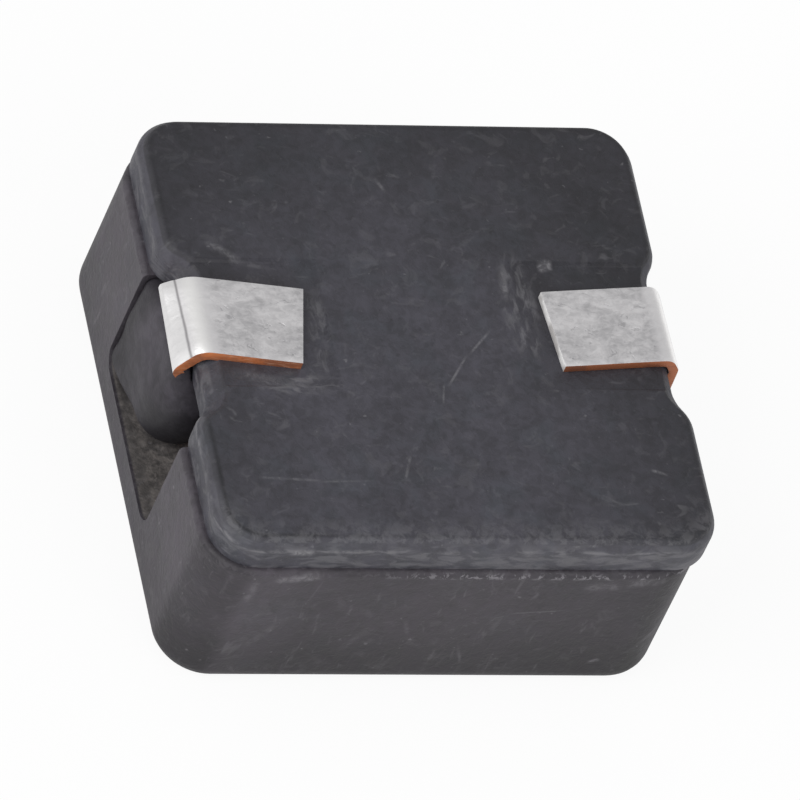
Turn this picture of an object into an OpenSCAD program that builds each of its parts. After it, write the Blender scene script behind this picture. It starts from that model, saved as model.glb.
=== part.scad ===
// Shielded surface-mount power inductor, in millimetres.
// The part lies on its closed top face: z = 0 is that face, and the solder pads face up (+Z).
// X runs from the left terminal to the right one. The origin is the middle of the closed face.

/* [Pot core] */
// Width of the pot core, along X
pot_w = 13.0; // [11:0.1:16]
// Depth of the pot core, along Y
pot_d = 12.9; // [11:0.1:16]
// Height of the pot core, from its closed face to the joint with the plate
pot_h = 4.7; // [4.4:0.1:7]
// Thickness of the closed end of the pot
pot_floor_t = 1.2; // [0.8:0.05:1.4]
// Radius of the upright corners of the pot
pot_corner_r = 1.35; // [0.8:0.05:1.6]
// Rounding round the closed face
pot_edge_r = 0.5; // [0.2:0.05:0.7]
// Radius of the post in the middle of the pot
post_r = 2.3; // [1.5:0.05:2.6]

/* [Cover plate] */
// How much smaller than the pot the plate is, on each side
plate_inset = 0; // [0:0.01:0.3]
// Thickness of the cover plate
plate_t = 1.0; // [0.7:0.05:1.5]
// Radius of the upright corners of the plate
plate_corner_r = 1.15; // [0.8:0.05:1.5]
// Width of the chamfer round the outer face of the plate
plate_edge_w = 0.2; // [0.1:0.02:0.3]
// Height of that chamfer
plate_edge_h = 0.3; // [0.1:0.02:0.4]
// How far the plate is glued off centre, towards the right
plate_shift_x = 0.2; // [0:0.01:0.3]
// How far the plate is glued off centre, towards the back
plate_shift_y = 0.17; // [0:0.01:0.3]
// Depth of the shallow notch in each end of the plate
notch_depth = 0.48; // [0.3:0.02:0.5]
// Width of the flat bottom of that notch
notch_floor_w = 4.0; // [3.4:0.1:4.4]
// How far each sloping side of the notch spreads
notch_flare = 0.5; // [0.3:0.05:0.6]
// Chamfer on the outer edge of the notch, which the terminals bend over
notch_ease = 0.5; // [0.4:0.02:0.6]
// Depth of the pocket under each solder pad
pocket_depth = 0.08; // [0.04:0.01:0.2]
// Width of the pocket under each solder pad
pocket_w = 3.9; // [3.3:0.1:4.2]
// How far the pockets lie towards the back
pocket_y = 0.35; // [0:0.05:0.5]
// Length of the pocket beyond the inner end of its pad
pocket_past_pad = 0.75; // [0.4:0.05:1.2]

/* [Lead windows] */
// Width of the window in each end wall of the pot
window_w = 5.16; // [4.6:0.02:5.6]
// How far the windows and notches lie towards the front
window_offset = 0.12; // [0:0.02:0.3]
// Radius of the lower corners of the windows
window_corner_r = 0.5; // [0.2:0.05:0.8]

/* [Winding] */
// Inner radius of the winding
coil_inner_r = 2.4; // [2:0.05:2.8]
// Outer radius of the winding
coil_outer_r = 4.85; // [4.4:0.05:4.9]
// Thickness of the flat wire
wire_t = 0.34; // [0.2:0.02:0.36]
// Gap between one turn and the next
turn_gap = 0.04; // [0.02:0.01:0.06]
// Number of turns, always a whole number and a half
turns = 5.5; // [3.5:1:5.5]

/* [Terminals] */
// Width of the terminal strip
strip_w = 2.28; // [1.6:0.02:2.8]
// Thickness of the terminal strip
strip_t = 0.26; // [0.2:0.02:0.34]
// Length of the left solder pad, up to its bend
left_pad_len = 2.58; // [2:0.02:3.2]
// Length of the right solder pad, up to its bend
right_pad_len = 2.66; // [2:0.02:3.2]
// Turn of the left terminal seen from above, in degrees
left_yaw = -7; // [-8:0.5:0]
// Turn of the right terminal seen from above, in degrees
right_yaw = 3.2; // [0:0.2:6]
// How far the left terminal lies towards the back at its bend
left_bend_y = 0.43; // [0.2:0.01:0.6]
// How far the right terminal lies towards the back at its bend
right_bend_y = 0.32; // [0.2:0.01:0.6]
// Gap between the left terminal and the bottom of the plate's notch
left_stand_off = 0.18; // [0.18:0.02:0.3]
// Gap between the right terminal and the bottom of the plate's notch
right_stand_off = 0.14; // [0.14:0.02:0.3]
// Rounding of the bends, to the middle of the strip
bend_r = 0.5; // [0.4:0.02:0.6]
// Length of the tab of each terminal that lies over or under the winding
tab_lap = 1.6; // [0.6:0.1:2]

/* [Resin beads] */
// Roundness of the beads
bead_r = 0.57; // [0.4:0.01:0.7]
// How far a bead reaches past the front edge of its terminal
bead_cover = 0.36; // [0.2:0.02:0.6]
// How much narrower the left bead is at the bottom of its window
left_bead_taper = 0.58; // [0:0.01:1]
// How much narrower the right bead is at the bottom of its window
right_bead_taper = 0.5; // [0:0.01:0.5]
// How far the front of a bead leans in at the bottom
bead_lean = 0.25; // [0:0.05:0.4]

/* [Clearances] */
// Gap between the winding and the walls round it
coil_gap = 0.1; // [0.05:0.01:0.2]
// Gap between a terminal and the bottom of the pot's chamber
tab_gap = 0.05; // [0.03:0.01:0.1]
// Gap between a bead and the back of its window, and under the plate
bead_gap = 0.05; // [0.02:0.01:0.1]

/* [Hidden] */
$fn = 48;

left = -1;
right = 1;
over = 1;                                    // how far a cut runs past the face that it opens
wire_steps = 32;                             // sides in one turn of the wire
bend_steps = 8;                              // sides in one bend of a strip
bend_reach = 0.44;                           // from a strip's leg in to its bend
leg_rise = 0.5;                              // height of the legs' upright part over the joint
left_lean = [0.1, 0.8];                      // how far in, and down, the left leg leans
right_lean = 0.3;                            // how far in the right leg leans
foot_gap = 0.4;                              // from the winding to the foot of the left leg
bead_root = 0.2;                             // from the chamber to the middle of a bead's root

plate_w = pot_w - 2 * plate_inset;
plate_d = pot_d - 2 * plate_inset;
chamber_r = coil_outer_r + coil_gap;         // the pot's chamber, round the winding
chamber_h = pot_h - pot_floor_t;
window_in = (post_r + chamber_r) / 2;        // where a window's cut starts, inside the chamber
window_y = -window_offset;
top_z = pot_h + plate_t;                     // outer face of the plate
pad_z = top_z - pocket_depth + strip_t / 2;  // middle of the strip in a solder pad

// Distances from the middle to the bottoms of the plate's notches, to the strips' legs outside
// them and to the bends over them
plate_end = plate_w / 2;
left_notch_u = plate_end - notch_depth - plate_shift_x;
right_notch_u = plate_end - notch_depth + plate_shift_x;
left_leg_u = left_notch_u + left_stand_off + strip_t / 2;
right_leg_u = right_notch_u + right_stand_off + strip_t / 2;
left_bend_u = left_leg_u - bend_reach;
right_bend_u = right_leg_u - bend_reach;

// The winding stands on the left terminal's tab and carries the right one's
low_tab_z = pot_floor_t + tab_gap + strip_t / 2;
coil_z = low_tab_z + strip_t / 2;
coil_h = turns * (wire_t + turn_gap) + wire_t;
high_tab_z = coil_z + coil_h + strip_t / 2;
tab_u = coil_outer_r - tab_lap;

// Middle lines of the two strips, as [distance from the middle, height]
left_path = [[left_bend_u - left_pad_len, pad_z], [left_bend_u, pad_z],
             [left_leg_u, pot_h + leg_rise], [left_leg_u, pot_h],
             [left_leg_u - left_lean[0], pot_h - left_lean[1]],
             [coil_outer_r + foot_gap, low_tab_z], [tab_u, low_tab_z]];
right_path = [[right_bend_u - right_pad_len, pad_z], [right_bend_u, pad_z],
              [right_leg_u, pot_h + leg_rise], [right_leg_u, pot_h],
              [right_leg_u - right_lean, high_tab_z], [tab_u, high_tab_z]];

// Upright section of a block: a rectangle on the X axis with its two lower corners rounded
module block_section(w, h, r) {
    translate([-w / 2, r]) square([w, h - r]);
    translate([-w / 2 + r, 0]) square([w - 2 * r, h]);
    for (s = [-1, 1]) translate([s * (w / 2 - r), r]) circle(r);
}

// Block with round upright corners and a rounded edge round its face at z = 0
module pressed_block(w, d, h, corner_r, edge_r) {
    rotate([90, 0, 0]) linear_extrude(d - 2 * corner_r, center = true) block_section(w, h, edge_r);
    rotate([90, 0, 90]) linear_extrude(w - 2 * corner_r, center = true) block_section(d, h, edge_r);
    for (sx = [-1, 1], sy = [-1, 1])
        translate([sx * (w / 2 - corner_r), sy * (d / 2 - corner_r), 0])
            rotate_extrude() intersection() {
                block_section(2 * corner_r, h, edge_r);
                square([corner_r, h]);
            }
}

// Upright section of the plate, with its two upper corners chamfered
module plate_section(w) {
    face = w / 2 - plate_edge_w;
    side = plate_t - plate_edge_h;
    polygon([[-w / 2, 0], [w / 2, 0], [w / 2, side], [face, plate_t], [-face, plate_t],
             [-w / 2, side]]);
}

// The plate's block, with round upright corners and a chamfer round its outer face
module plate_block() {
    r = plate_corner_r;
    rotate([90, 0, 0]) linear_extrude(plate_d - 2 * r, center = true) plate_section(plate_w);
    rotate([90, 0, 90]) linear_extrude(plate_w - 2 * r, center = true) plate_section(plate_d);
    for (sx = [-1, 1], sy = [-1, 1])
        translate([sx * (plate_w / 2 - r), sy * (plate_d / 2 - r), 0])
            rotate_extrude() intersection() {
                plate_section(2 * r);
                square([r, plate_t]);
            }
}

// Outline of a window, open at the top, drawn with its sill at zero
module window_outline() {
    r = window_corner_r;
    translate([-window_w / 2, r]) square([window_w, chamber_h + over - r]);
    translate([-window_w / 2 + r, 0]) square([window_w - 2 * r, chamber_h]);
    for (s = [-1, 1]) translate([s * (window_w / 2 - r), r]) circle(r);
}

// The space of one window, from inside the chamber to beyond the wall
module window_space(side) {
    translate([0, window_y, pot_floor_t]) rotate([90, 0, side * 90])
        translate([0, 0, window_in])
            linear_extrude(pot_w / 2 - window_in + over) window_outline();
}

// Notch in one end of the plate, wider at its mouth
module plate_notch(side) {
    half = notch_floor_w / 2;
    slope = notch_flare / notch_depth;
    reach = notch_depth + over;
    translate([side * plate_end, window_y, -over]) linear_extrude(plate_t + 2 * over)
        polygon([[side * over, half + reach * slope], [-side * notch_depth, half],
                 [-side * notch_depth, -half], [side * over, -half - reach * slope]]);
}

// Chamfer along the flat bottom of a notch, on the outer face
module notch_chamfer(side) {
    bottom = plate_end - notch_depth;
    translate([0, window_y, 0]) rotate([90, 0, 0])
        linear_extrude(notch_floor_w, center = true)
            polygon([[side * (bottom - notch_ease), plate_t], [side * bottom, plate_t - notch_ease],
                     [side * (bottom + over), plate_t - notch_ease],
                     [side * (bottom + over), plate_t + over],
                     [side * (bottom - notch_ease), plate_t + over]]);
}

// Shallow pocket for one solder pad whose inner end is at inner_u, running out past the end
module pad_pocket(side, inner_u) {
    inner = side * (inner_u - pocket_past_pad);
    translate([min(inner, inner + side * plate_w), pocket_y - pocket_w / 2,
               top_z - pocket_depth])
        cube([plate_w, pocket_w, pocket_depth + over]);
}

module core_pot() {
    color([0.29, 0.29, 0.31]) difference() {
        pressed_block(pot_w, pot_d, pot_h, pot_corner_r, pot_edge_r);
        translate([0, 0, pot_floor_t]) difference() {
            cylinder(r = chamber_r, h = chamber_h + over);
            cylinder(r = post_r, h = chamber_h + over);
        }
        window_space(left);
        window_space(right);
    }
}

module core_plate() {
    color([0.25, 0.25, 0.27]) difference() {
        translate([plate_shift_x, plate_shift_y, pot_h]) difference() {
            plate_block();
            plate_notch(left);
            plate_notch(right);
            notch_chamfer(left);
            notch_chamfer(right);
        }
        pad_pocket(left, left_path[0][0]);
        pad_pocket(right, right_path[0][0]);
    }
}

// One ring of the flat wire, at a turn of a degrees
function wire_ring(a) =
    let (z = coil_z + (coil_h - wire_t) * a / (360 * turns))
    [for (p = [[coil_inner_r, z], [coil_outer_r, z],
               [coil_outer_r, z + wire_t], [coil_inner_r, z + wire_t]])
        [-p[0] * cos(a), -p[0] * sin(a), p[1]]];

// Flat wire wound on edge: a square-section helix from the left, low, to the right, high
module winding() {
    n = round(turns * wire_steps);
    rings = [for (i = [0:n]) wire_ring(360 * turns * i / n)];
    sides = [for (i = [0:n - 1], k = [0:3])
        each [[4 * i + k, 4 * (i + 1) + k, 4 * i + (k + 1) % 4],
              [4 * i + (k + 1) % 4, 4 * (i + 1) + k, 4 * (i + 1) + (k + 1) % 4]]];
    caps = [[0, 1, 2, 3], [4 * n + 3, 4 * n + 2, 4 * n + 1, 4 * n]];
    color([0.45, 0.2, 0.1])
        polyhedron(points = [for (r = rings) each r], faces = concat(sides, caps), convexity = 8);
}

function unit(v) = v / norm(v);
function across(v) = [-v[1], v[0]];

// Points of the arc of radius r that rounds the corner b of the line a-b-c
function corner_arc(a, b, c, r) =
    let (to_a = unit(a - b), to_c = unit(c - b),
         half = acos(to_a * to_c) / 2,
         middle = b + unit(to_a + to_c) * r / sin(half),
         start = b + to_a * r / tan(half) - middle,
         finish = b + to_c * r / tan(half) - middle,
         sweep = (180 - 2 * half) * sign(start[0] * finish[1] - start[1] * finish[0]))
    [for (i = [0:bend_steps])
        let (t = sweep * i / bend_steps)
        middle + [start[0] * cos(t) - start[1] * sin(t), start[0] * sin(t) + start[1] * cos(t)]];

// A line with each inner corner rounded
function rounded_path(path) = let (last = len(path) - 1)
    concat([path[0]],
           [for (i = [1:last - 1]) each corner_arc(path[i - 1], path[i], path[i + 1], bend_r)],
           [path[last]]);

// The line moved sideways by d, with mitred corners
function moved_path(path, d) = let (last = len(path) - 1)
    [for (i = [0:last])
        let (before = unit(path[max(i, 1)] - path[max(i, 1) - 1]),
             after = unit(path[min(i, last - 1) + 1] - path[min(i, last - 1)]),
             out = unit(across(before) + across(after)))
        path[i] + out * d / (out * across(before))];

// Outline as wide as a strip, turned about the point over the strip's bend
module across_strip(side, outline, bend_u, bend_y, yaw) {
    translate([side * bend_u, bend_y, 0]) rotate([90, 0, yaw])
        linear_extrude(strip_w, center = true)
            polygon([for (p = outline) [side * (p[0] - bend_u), p[1]]]);
}

// Strip bent along a path on one side
module bent_strip(side, path, bend_u, bend_y, yaw) {
    line = rounded_path(path);
    inside = moved_path(line, -strip_t / 2);
    outside = moved_path(line, strip_t / 2);
    last = len(line) - 1;
    across_strip(side, concat(inside, [for (i = [0:last]) outside[last - i]]), bend_u, bend_y, yaw);
}

// The strip and all that it is folded round
module folded_space(side, path, bend_u, bend_y, yaw) {
    across_strip(side, moved_path(rounded_path(path), strip_t / 2), bend_u, bend_y, yaw);
}

module terminal_left() {
    color([0.78, 0.77, 0.76])
        bent_strip(left, left_path, left_bend_u, left_bend_y, left_yaw);
}

module terminal_right() {
    color([0.78, 0.77, 0.76])
        bent_strip(right, right_path, right_bend_u, right_bend_y, right_yaw);
}

// Resin over the joint of one terminal, whose middle is at strip_y, and the wire: it fills the
// back part of the window
module bead_lump(side, strip_y, taper) {
    face = pot_w / 2 - bead_r;
    inner = chamber_r + bead_root;
    back = window_y + window_w / 2 - bead_gap - bead_r;
    top_front = strip_y - strip_w / 2 - bead_cover + bead_r;
    low_front = top_front + taper;
    top = pot_h - bead_gap - bead_r;
    low = pot_floor_t + bead_r;
    hull() {
        for (p = [[face, back, top], [face, top_front, top],
                  [face, back, low], [face - bead_lean, low_front, low],
                  [inner, back, top], [inner, back, low]])
            translate([side * p[0], p[1], p[2]]) sphere(bead_r, $fn = 28);
    }
}

module bead_left() {
    color([0.2, 0.2, 0.22]) difference() {
        bead_lump(left, left_bend_y, left_bead_taper);
        cylinder(r = chamber_r, h = top_z);
        terminal_left();
    }
}

// This bead lies under and outside its terminal, whose tab is high, and is open above it
module bead_right() {
    color([0.2, 0.2, 0.22]) difference() {
        bead_lump(right, right_bend_y, right_bead_taper);
        cylinder(r = chamber_r, h = top_z);
        folded_space(right, right_path, right_bend_u, right_bend_y, right_yaw);
    }
}

core_pot();
core_plate();
winding();
terminal_left();
terminal_right();
bead_left();
bead_right();
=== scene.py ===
"""A shielded surface-mount inductor: its pressed core, solder terminals, winding and resin beads."""
import math

import bmesh
import bpy
from mathutils import Matrix, Vector, noise


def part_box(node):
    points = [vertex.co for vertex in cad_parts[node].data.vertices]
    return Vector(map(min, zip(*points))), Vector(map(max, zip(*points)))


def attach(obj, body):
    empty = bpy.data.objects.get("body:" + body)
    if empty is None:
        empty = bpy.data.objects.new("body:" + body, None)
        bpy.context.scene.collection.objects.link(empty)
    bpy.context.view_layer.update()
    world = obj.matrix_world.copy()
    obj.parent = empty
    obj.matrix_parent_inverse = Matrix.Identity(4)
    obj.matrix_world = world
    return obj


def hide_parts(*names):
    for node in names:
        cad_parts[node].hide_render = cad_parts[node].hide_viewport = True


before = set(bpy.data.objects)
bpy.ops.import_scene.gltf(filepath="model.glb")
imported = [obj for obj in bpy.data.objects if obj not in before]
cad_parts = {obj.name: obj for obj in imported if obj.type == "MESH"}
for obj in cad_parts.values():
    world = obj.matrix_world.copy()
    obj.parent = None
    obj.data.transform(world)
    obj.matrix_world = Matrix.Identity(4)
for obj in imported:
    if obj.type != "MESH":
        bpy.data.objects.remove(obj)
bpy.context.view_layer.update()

MM = 0.001                       # one millimetre, in metres
LEFT, RIGHT = -1, 1              # the two ends of the part, as signs along X
SAME_POINT = 1e-5                # points nearer than this, in millimetres, are merged
SAME_HEIGHT = 1e-4               # heights nearer than this, in millimetres, are level
PAST_WALL = 8.0                  # a distance out, in millimetres, that is past every wall
OVERSHOOT = 1.0                  # how far a cutting shape stands out of an open end

# Cover plate, in millimetres
PLATE_CORNER = 1.15              # radius of its upright corners
RIM_WIDTH = 0.2                  # width of the chamfer round its face
RIM_HEIGHT = 0.3                 # height of that chamfer
RIM_ROUND = 0.07                 # rounding of the chamfer's two edges
NOTCH_DEPTH = {LEFT: 0.48, RIGHT: 0.34}  # depth of the notch in each end
NOTCH_BACK = 2.0                 # half width of the notches' flat bottoms, to the back
NOTCH_FRONT = {LEFT: 2.0, RIGHT: 1.78}   # and to the front
NOTCH_FLARE = 0.5                # how far each sloping side of the notch spreads
NOTCH_EASE = {LEFT: 0.5, RIGHT: 0.32}    # chamfer of a notch's floor, under the terminal's bend
NOTCH_SHIFT = -0.12              # how far the notches lie from the plate's middle, along Y
NOTCH_ROUND = 0.28               # rounding of the notch's upright corners
POCKET_DEPTH = 0.08              # depth of the pocket under each pad
POCKET_WIDTH = 3.9               # width of that pocket
POCKET_Y = 0.35                  # how far the pockets lie towards the back
POCKET_ENDS = {LEFT: -2.37, RIGHT: 2.65}  # inner ends of the two pockets, along X
POCKET_RAMP = 0.12               # width of the slope round a pocket

# Pot core, in millimetres
POT_CORNER = 1.35                # radius of its upright corners
POT_EDGE = 0.5                   # rounding round the closed face
JOINT_EDGE = 0.15                # rounding of the outer edge at the joint
CHAMBER_RADIUS = 4.95            # the space round the winding
POST_RADIUS = 2.3                # the post inside the winding
POT_FLOOR = 1.2                  # thickness of the closed end, and height of the window's sill
WINDOW_WIDTH = 5.16              # width of a lead window
WINDOW_Y = -0.12                 # middle of the windows
WINDOW_ROUND = 0.5               # rounding of the window's lower corners
WINDOW_FROM = 4.0                # how far out the cut for a window starts, in the chamber
WORN_EDGE = 0.06                 # rounding that wear leaves on a pressed edge

# Terminals, in millimetres
STRIP_WIDTH = 2.28
STRIP_THICK = 0.26
SHEARED_ROUND = 0.04             # rounding of the strip's sheared edges
BROAD, SHEARED, CUT_END = 0, 1, 2   # which finish is on its broad faces, its edges and its cut end
PAD_MIDDLE = 5.75                # height of the pads' middle line
PAD_SAG = 0.02                   # how far a pad dips where it was pressed unevenly
PAD_ZONE = (5.20, 5.60)          # heights between which a strip passes from leg to pad
LEAN_ZONE = (5.25, 5.70)         # heights between which a leg starts to lean
NARROW_ZONE = (2.10, 3.90)       # heights between which a leg narrows, downwards
NARROW_SHARE = 0.5               # share of its width that a leg loses where it narrows

# Each terminal's middle line, as corners (distance out, height), with the radius of the bend at
# each corner between its ends. The other lengths say where its pad turns and where it folds, and
# the turns, in degrees, are those of the pad, of the fold's line and of the pad's cut end.
TERMINALS = {
    LEFT: {
        "line": [(3.12, PAD_MIDDLE), (5.80, PAD_MIDDLE), (6.33, 5.18), (6.03, 4.80), (5.97, 4.40),
                 (5.25, 1.38), (3.25, 1.38)],
        "radii": [0.5, 0.16, 0.1, 0.3, 0.4],
        "fold_x": 6.14, "fold_y": 0.504, "fold_at": 2.96,
        "pad_turn": 7.0, "fold_turn": -1.5, "end_turn": 10.7,
        "leg_lean": 0.17, "narrows": 1.0,
    },
    RIGHT: {
        "line": [(3.40, PAD_MIDDLE), (6.30, PAD_MIDDLE), (6.505, 5.42), (6.54, 4.40), (6.28, 4.07),
                 (3.25, 4.07)],
        "radii": [0.28, 0.20, 0.2, 0.2],
        "fold_x": 6.54, "fold_y": 0.355, "fold_at": 3.34,
        "pad_turn": 4.0, "fold_turn": -1.2, "end_turn": -5.4,
        "leg_lean": 0.0, "narrows": 0.0,
    },
}

# Beads, in millimetres: the round lumps that the resin is drawn over, as distance out, Y, height
# and radius
BEAD_LUMPS = [
    (6.17, 2.30, 4.44, 0.24), (6.17, 2.28, 1.48, 0.26), (5.15, 2.30, 4.45, 0.20),
    (5.15, 2.30, 1.42, 0.20), (5.22, 1.00, 3.05, 1.30), (5.60, -0.42, 3.86, 0.78),
    (5.38, 0.45, 2.20, 1.05), (5.28, 0.15, 3.05, 1.18),
]
UP_THE_LEG = [(6.14, 1.30, 4.86, 0.24), (6.10, -0.42, 4.84, 0.24)]
CREST = {LEFT: 0.5, RIGHT: 0.0}  # how far a bead may climb into the plate's notch
CREST_ZONE = (5.84, 5.94)        # distances out between which it starts to climb
RESIN_GRAIN = 0.06               # spacing of the points of a bead's mesh
RESIN_SWELL = 0.09               # how unevenly the resin set

# Colours, as red, green and blue
WHITE = (1.0, 1.0, 1.0, 1.0)
FLOOR_GREY = (0.85, 0.85, 0.85, 1.0)
PLATE_COAT, PLATE_COAT_COOL = (0.0385, 0.0370, 0.0470), (0.0345, 0.0375, 0.0465)
PLATE_BARE = (0.190, 0.186, 0.198)
POT_COAT, POT_COAT_COOL = (0.0450, 0.0390, 0.0480), (0.0415, 0.0390, 0.0465)
POT_BARE = (0.190, 0.181, 0.197)
# The first sill colour is its darker sand, also used for the painted shade of the crack along its
# outer edge
SILL_DARK, SILL_SAND = (0.085, 0.078, 0.077), (0.190, 0.172, 0.163)
TIN_ON_PAD, TIN_ON_LEG = (0.80, 0.785, 0.795), (0.80, 0.79, 0.79)
# The second tin colour here is a painted highlight stripe beside a strip's fold, and the next line's
# is a painted dark reflection along it
TIN_SOILED, TIN_PAINTED_HIGHLIGHT = (0.38, 0.375, 0.385), (0.97, 0.96, 0.95)
TIN_PAINTED_DARK_REFLECTION = (0.20, 0.19, 0.20)
# A painted highlight on a strip's cut end, in two near-white colours
CUT_END_HIGHLIGHT_DULL, CUT_END_HIGHLIGHT_BRIGHT = (0.55, 0.53, 0.52), (0.96, 0.95, 0.94)
COPPER_BRIGHT, COPPER_BROWN = (0.96, 0.31, 0.11), (0.36, 0.13, 0.065)
# The second copper colour here is painted shade, for the edges towards the right
COPPER_TINNED, COPPER_PAINTED_SHADE = (0.95, 0.60, 0.42), (0.12, 0.048, 0.032)
# The second resin colour is that of dust and of painted light
RESIN_DARK, RESIN_DUST_AND_LIGHT = (0.011, 0.0100, 0.0125), (0.062, 0.056, 0.068)
ENAMEL_DARK, ENAMEL_PALE = (0.030, 0.012, 0.008), (0.075, 0.030, 0.018)

# Camera, in millimetres and degrees, and lights, in metres and watts
CAMERA_EYE = (-145.792, -240.764, 343.770)
CAMERA_AIM = (0.2026, -0.0330, 3.0)
CAMERA_ROLL = 25.62
CAMERA_LENS, CAMERA_SENSOR = 804.09, 36
KEY_PLACE, KEY_POWER = (-0.55, -0.15, 0.45), 3.0
FILL_PLACE, FILL_POWER = (0.3, -0.5, 0.4), 1.2
LIGHT_SIZE = 0.5
FLOOR_SIZE = 3.0
FLOOR_GLOW = 0.92                # share of plain white in what the camera sees of the floor
ROOM_LIGHT = 0.62                # strength of the light from all round


def box_mm(node):
    """Lowest and highest corner of a CAD node, in millimetres."""
    low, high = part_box(node)
    return low / MM, high / MM


def ramp(value, low, high):
    """0 below low, 1 above high, and straight between them."""
    return max(0.0, min(1.0, (value - low) / (high - low)))


# --- Mesh helpers ---------------------------------------------------------------------------

def finished(name, bm, materials, stands_for=None, smooth_angle=32):
    """Turns a bmesh drawn in millimetres into a piece of the part."""
    bmesh.ops.remove_doubles(bm, verts=bm.verts, dist=SAME_POINT)
    bmesh.ops.recalc_face_normals(bm, faces=bm.faces)
    bmesh.ops.scale(bm, vec=(MM, MM, MM), verts=bm.verts)
    mesh = bpy.data.meshes.new(name)
    bm.to_mesh(mesh)
    bm.free()
    piece = bpy.data.objects.new(name, mesh)
    bpy.context.scene.collection.objects.link(piece)
    for material in materials:
        mesh.materials.append(material)
    mesh.shade_smooth()
    mesh.set_sharp_from_angle(angle=math.radians(smooth_angle))
    if smooth_angle < 90:
        even = piece.modifiers.new("flat_faces_stay_flat", "WEIGHTED_NORMAL")
        even.keep_sharp = True
    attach(piece, "root")
    if stands_for:
        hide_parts(stands_for)
    return piece


def scratch_object(bm):
    """A bmesh as an object of its own, for a modifier to work on."""
    mesh = bpy.data.meshes.new("work")
    bm.to_mesh(mesh)
    bm.free()
    made = bpy.data.objects.new("work", mesh)
    bpy.context.scene.collection.objects.link(made)
    return made


def settled(holder):
    """The mesh of an object with its modifiers applied, as a bmesh. The object goes."""
    bpy.context.view_layer.update()
    seen = holder.evaluated_get(bpy.context.evaluated_depsgraph_get())
    bm = bmesh.new()
    bm.from_mesh(seen.to_mesh())
    seen.to_mesh_clear()
    old = holder.data
    bpy.data.objects.remove(holder)
    bpy.data.meshes.remove(old)
    return bm


def cut(bm, tools):
    """bm less each of the closed shapes in tools."""
    block = scratch_object(bm)
    cutters = [scratch_object(tool) for tool in tools]
    for cutter in cutters:
        step = block.modifiers.new("cut", "BOOLEAN")
        step.operation = "DIFFERENCE"
        step.solver = "EXACT"
        step.object = cutter
    made = settled(block)
    for cutter in cutters:
        old = cutter.data
        bpy.data.objects.remove(cutter)
        bpy.data.meshes.remove(old)
    return made


def eased(bm, edges, width, segments):
    """Rounds edges to a width."""
    bmesh.ops.bevel(bm, geom=edges, offset=width, offset_type="OFFSET", segments=segments,
                    profile=0.5, affect="EDGES", clamp_overlap=True, material=-1)


def sharp_edges(bm, from_angle):
    """The edges whose faces meet at more than an angle, in degrees."""
    return [
        edge for edge in bm.edges
        if len(edge.link_faces) == 2 and edge.calc_face_angle(0) > math.radians(from_angle)
    ]


def level_edges(bm, height):
    """The edges that lie at a height."""
    return [edge for edge in bm.edges
            if all(abs(point.co.z - height) < SAME_HEIGHT for point in edge.verts)]


def fall(edge):
    """How far one end of an edge lies below the other."""
    return abs(edge.verts[0].co.z - edge.verts[1].co.z)


def made_points(made):
    """The points among what an operator made."""
    return [item for item in made if isinstance(item, bmesh.types.BMVert)]


def made_edges(made):
    """The edges among what an operator made."""
    return [item for item in made if isinstance(item, bmesh.types.BMEdge)]


def flat_shape(corners, height=0.0):
    """A bmesh with one flat face through the corners."""
    bm = bmesh.new()
    points = [bm.verts.new((x, y, height)) for x, y in corners]
    bm.faces.new(points)
    return bm


def round_corner(bm, points, radius, segments):
    """Rounds the upright corners of a flat shape at points."""
    bmesh.ops.bevel(bm, geom=points, offset=radius, offset_type="OFFSET", segments=segments,
                    profile=0.5, affect="VERTICES", clamp_overlap=True, material=-1)


def drawn_up(bm, height):
    """Extrudes a flat shape upwards into a closed block, and returns the face on top."""
    made = bmesh.ops.extrude_face_region(bm, geom=bm.faces[:], use_keep_orig=True)["geom"]
    bmesh.ops.translate(bm, vec=(0, 0, height), verts=made_points(made))
    bmesh.ops.recalc_face_normals(bm, faces=bm.faces)
    return [item for item in made if isinstance(item, bmesh.types.BMFace)][0]


def column(radius, low, high, sides=96):
    """An upright round column in the middle of the part."""
    bm = bmesh.new()
    bmesh.ops.create_circle(bm, cap_ends=True, radius=radius, segments=sides)
    bmesh.ops.translate(bm, vec=(0, 0, low), verts=bm.verts)
    drawn_up(bm, high - low)
    return bm


def hull_of(bm):
    """The convex hull of all the points of a bmesh, in place."""
    made = bmesh.ops.convex_hull(bm, input=bm.verts)
    inner = set(made_points(made["geom_interior"]) + made_points(made["geom_unused"]))
    bmesh.ops.delete(bm, geom=list(inner), context="VERTS")
    bmesh.ops.recalc_face_normals(bm, faces=bm.faces)
    return bm


# --- Materials ------------------------------------------------------------------------------

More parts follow.
